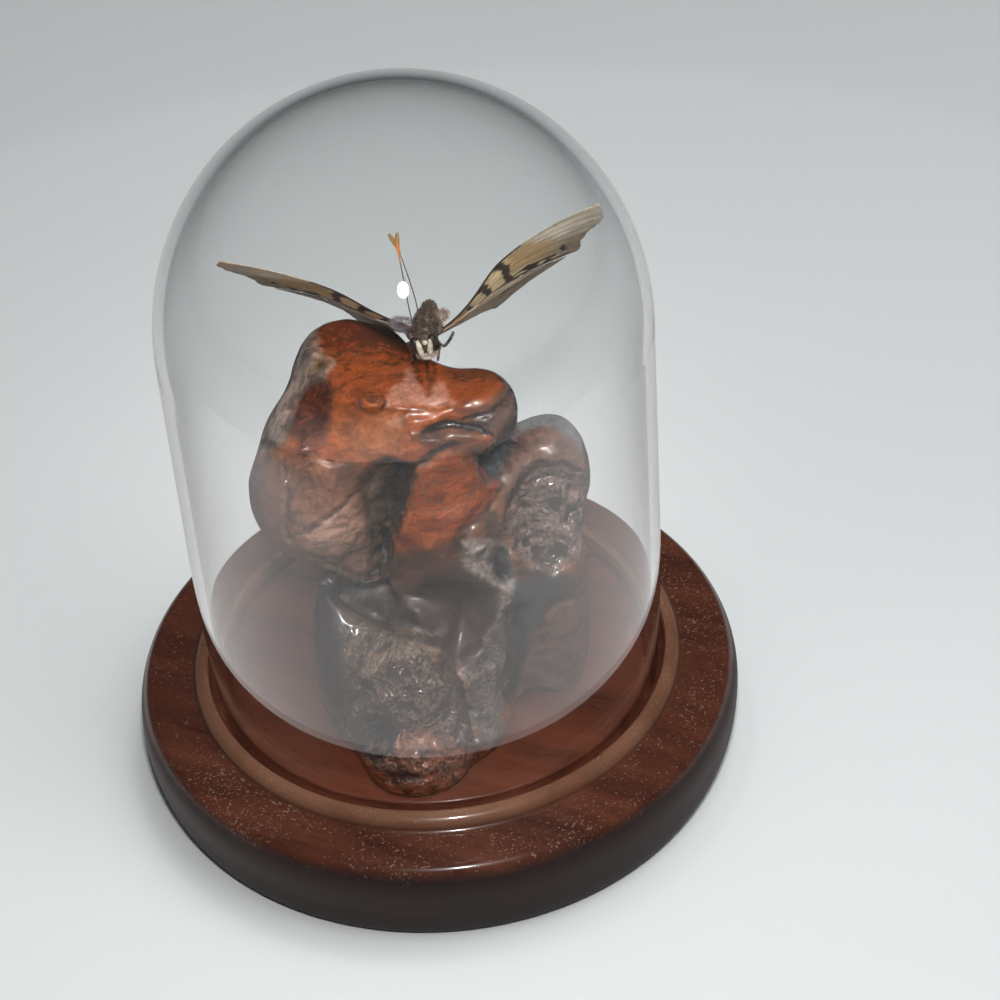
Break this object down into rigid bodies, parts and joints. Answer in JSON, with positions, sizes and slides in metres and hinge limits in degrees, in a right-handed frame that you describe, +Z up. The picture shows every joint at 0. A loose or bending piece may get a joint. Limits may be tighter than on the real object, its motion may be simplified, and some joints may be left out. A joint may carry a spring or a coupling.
{
  "type": "insect specimen under a glass dome",
  "caption": "Butterfly specimen standing on a varnished wooden burl, under a tall clear glass dome set in a round turned wooden base.",
  "frame": {"origin": "middle of the base's flat underside", "axes": "+Z up the dome's axis, -Y to the front where the butterfly's head points, +X to the right as seen from the front"},
  "size_m": [0.1, 0.1, 0.1224],
  "materials": {
    "stained_wood": "dark mahogany stain, lacquered, dusty on the flat rim",
    "glass": "clear blown glass",
    "burl_wood": "varnished burl, orange-brown with dark clefts and a silvery sheen",
    "insect_body": "dry, hairy, grey-brown",
    "wing_membrane": "dry scaled membrane, tan and grey with dark brown bars"
  },
  "bodies": {
    "root": {"base": "stained_wood", "glass_dome": "glass", "burl": "burl_wood", "butterfly_body": "insect_body", "forewing_left": "wing_membrane", "forewing_right": "wing_membrane", "hindwing_left": "wing_membrane", "hindwing_right": "wing_membrane", "antenna_left": "insect_body", "antenna_right": "insect_body"}
  },
  "joints": []
}
